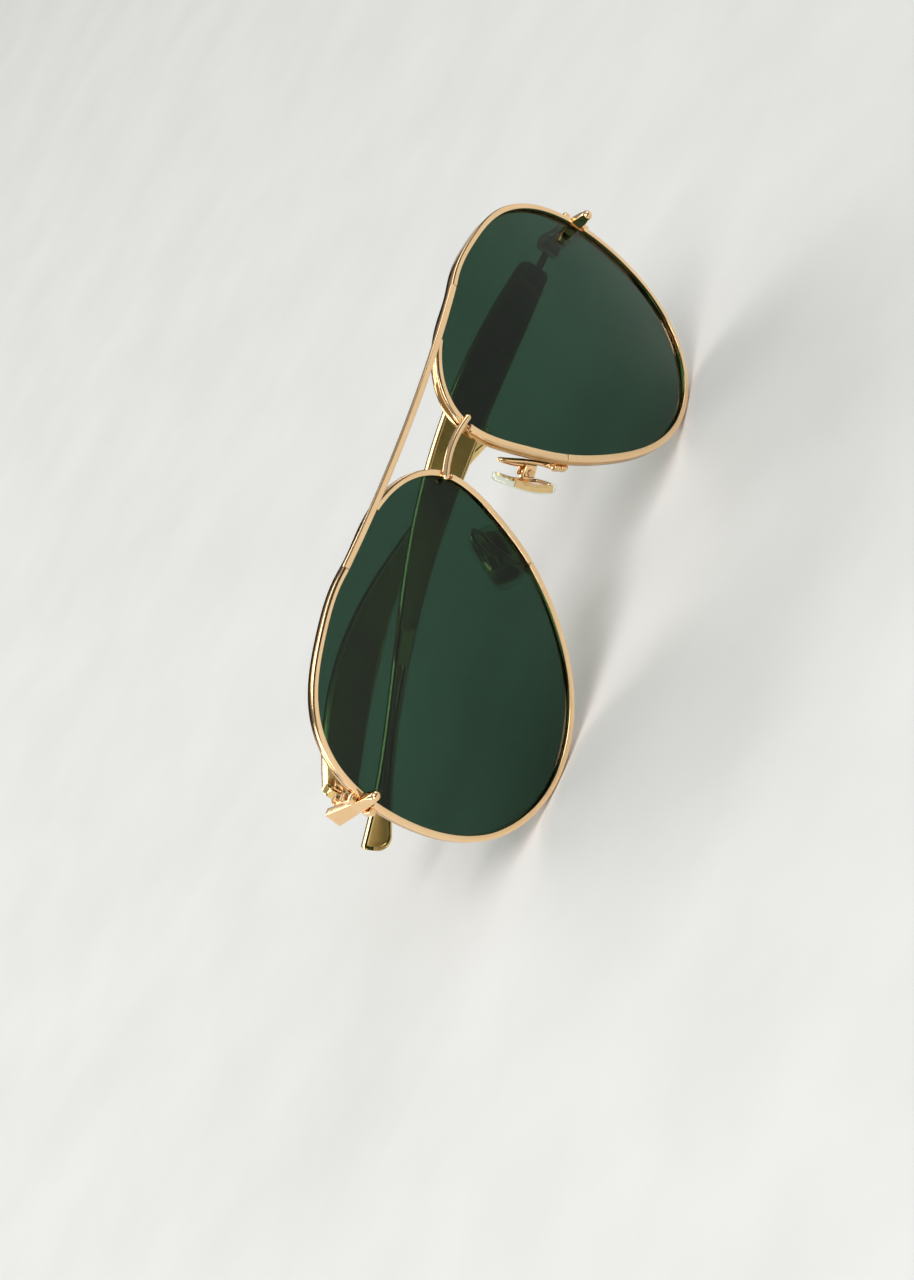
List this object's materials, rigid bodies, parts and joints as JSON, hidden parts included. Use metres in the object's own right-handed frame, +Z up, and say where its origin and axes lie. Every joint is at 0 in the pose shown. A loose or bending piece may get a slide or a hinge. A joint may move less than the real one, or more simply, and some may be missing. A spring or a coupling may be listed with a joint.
{
  "type": "folding sunglasses",
  "caption": "Metal aviator sunglasses with teardrop lenses in wire rims, a straight brow bar over a round bridge bar, clear nose pads and wide hollow-faced temples, stored folded.",
  "frame": {"origin": "on the plane of symmetry, level with the middle of the lenses, at the depth of the nasal front edges of the rims", "axes": "+X towards the wearer's left, +Y back towards the head, +Z up"},
  "size_m": [0.143, 0.0753, 0.0618],
  "materials": {
    "gold_trim": "polished",
    "gold_wire": "polished",
    "gold_fittings": "polished",
    "gold_temple": "polished",
    "screw_metal": "machined",
    "lens_green": "glossy tint",
    "pad_clear": "clear"
  },
  "bodies": {
    "front": {"strip_temporal_left": "gold_trim", "strip_temporal_right": "gold_trim", "strip_cheek_left": "gold_trim", "strip_cheek_right": "gold_trim", "strip_lower_nasal_left": "gold_trim", "strip_lower_nasal_right": "gold_trim", "strip_upper_nasal_left": "gold_trim", "strip_upper_nasal_right": "gold_trim", "eyewire_left": "gold_wire", "eyewire_right": "gold_wire", "brow_bar": "gold_trim", "bridge_bar": "gold_trim", "side_arm_left": "gold_fittings", "side_arm_right": "gold_fittings", "closing_lug_upper_left": "gold_fittings", "closing_lug_upper_right": "gold_fittings", "closing_lug_lower_left": "gold_fittings", "closing_lug_lower_right": "gold_fittings", "hinge_front_left": "gold_fittings", "hinge_front_right": "gold_fittings", "pad_arm_left": "gold_fittings", "pad_arm_right": "gold_fittings", "pad_box_left": "gold_fittings", "pad_box_right": "gold_fittings", "closing_screw_left": "screw_metal", "closing_screw_right": "screw_metal", "hinge_screw_left": "screw_metal", "hinge_screw_right": "screw_metal", "pad_screw_left": "screw_metal", "pad_screw_right": "screw_metal", "lens_left": "lens_green", "lens_right": "lens_green"},
    "temple_left": {"temple_hinge_left": "gold_fittings", "temple_left": "gold_temple"},
    "temple_right": {"temple_hinge_right": "gold_fittings", "temple_right": "gold_temple"},
    "pad_left": {"pad_plate_left": "gold_fittings", "pad_cushion_left": "pad_clear"},
    "pad_right": {"pad_plate_right": "gold_fittings", "pad_cushion_right": "pad_clear"}
  },
  "joints": [
    {"name": "temple_right_hinge", "type": "hinge", "parent": "front", "child": "temple_right", "pos_m": [-0.0677, 0.0234, 0.0053], "axis": [0, 0, 1], "range_deg": [0, 70]},
    {"name": "temple_left_hinge", "type": "hinge", "parent": "front", "child": "temple_left", "pos_m": [0.0677, 0.0234, 0.0053], "axis": [0, 0, -1], "range_deg": [0, 65.1]},
    {"name": "pad_left_rock", "type": "hinge", "parent": "front", "child": "pad_left", "pos_m": [0.0109, 0.01134, -0.00186], "axis": [0.3763, 0.8688, 0.322], "range_deg": [-8, 8]},
    {"name": "pad_right_rock", "type": "hinge", "parent": "front", "child": "pad_right", "pos_m": [-0.0109, 0.01134, -0.00186], "axis": [-0.3763, 0.8688, 0.322], "range_deg": [-8, 8]}
  ],
  "couplings": [
    {"joint": "temple_left_hinge", "follows": "temple_right_hinge", "ratio": 0.93}
  ]
}
